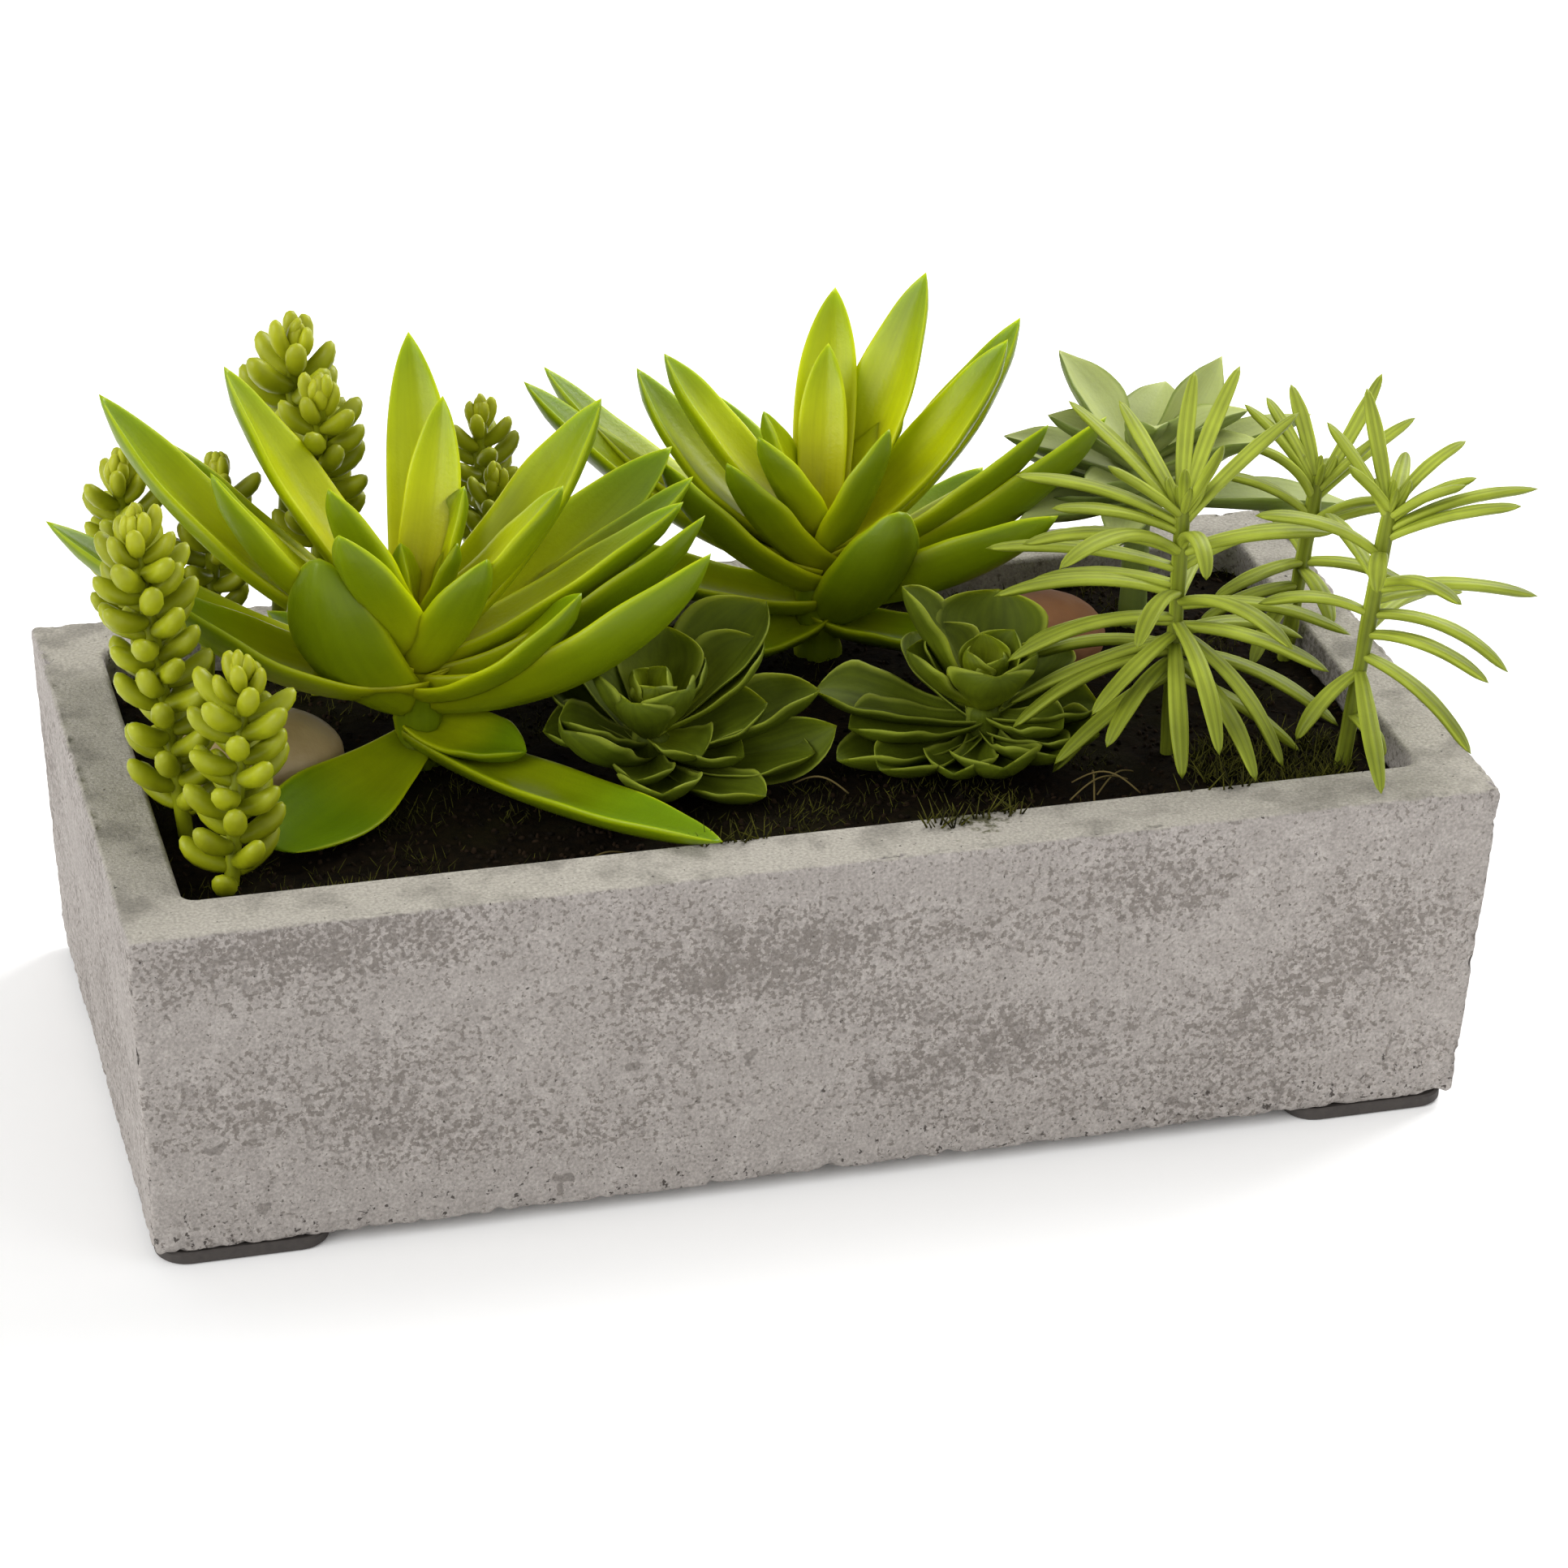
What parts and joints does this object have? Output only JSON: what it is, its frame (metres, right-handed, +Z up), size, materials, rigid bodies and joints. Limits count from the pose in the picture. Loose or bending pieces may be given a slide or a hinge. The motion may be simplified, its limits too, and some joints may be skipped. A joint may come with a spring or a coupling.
{
  "type": "succulent dish garden",
  "caption": "Rectangular concrete trough on low pads, planted with rosette, needle-leaved and beaded stonecrop succulents among small stones.",
  "frame": {"origin": "under the middle of the whole garden's bounding box, on the plane that the foot pads stand on", "axes": "+X along the trough to the viewer's right, +Y to the back, +Z up"},
  "size_m": [0.3197, 0.1691, 0.1644],
  "materials": {
    "concrete": "rough cast concrete, mottled grey",
    "pad": "matt",
    "soil": "loose dark soil with moss",
    "stone_cream": "smooth river pebble",
    "stone_terracotta": "rough red stone",
    "lance": "waxy lime green leaf",
    "echeveria": "dark green leaf with a grey bloom",
    "sage": "powdery sage green leaf",
    "needle": "satin yellow-green leaf",
    "stonecrop": "waxy yellow-green bead"
  },
  "bodies": {
    "root": {"planter": "concrete", "foot_pad_front_left": "pad", "foot_pad_back_left": "pad", "foot_pad_front_right": "pad", "foot_pad_back_right": "pad", "soil": "soil", "stone_cream": "stone_cream", "stone_terracotta": "stone_terracotta", "lance_rosette_left": "lance", "lance_rosette_right": "lance", "echeveria_left": "echeveria", "echeveria_right": "echeveria", "grey_succulent": "sage", "needle_stem_front": "needle", "needle_stem_right": "needle", "needle_stem_back": "needle", "stonecrop_stem_1": "stonecrop", "stonecrop_stem_2": "stonecrop", "stonecrop_stem_3": "stonecrop", "stonecrop_stem_4": "stonecrop", "stonecrop_stem_5": "stonecrop", "stonecrop_stem_6": "stonecrop", "stonecrop_stem_7": "stonecrop", "stonecrop_stem_8": "stonecrop"}
  },
  "joints": []
}
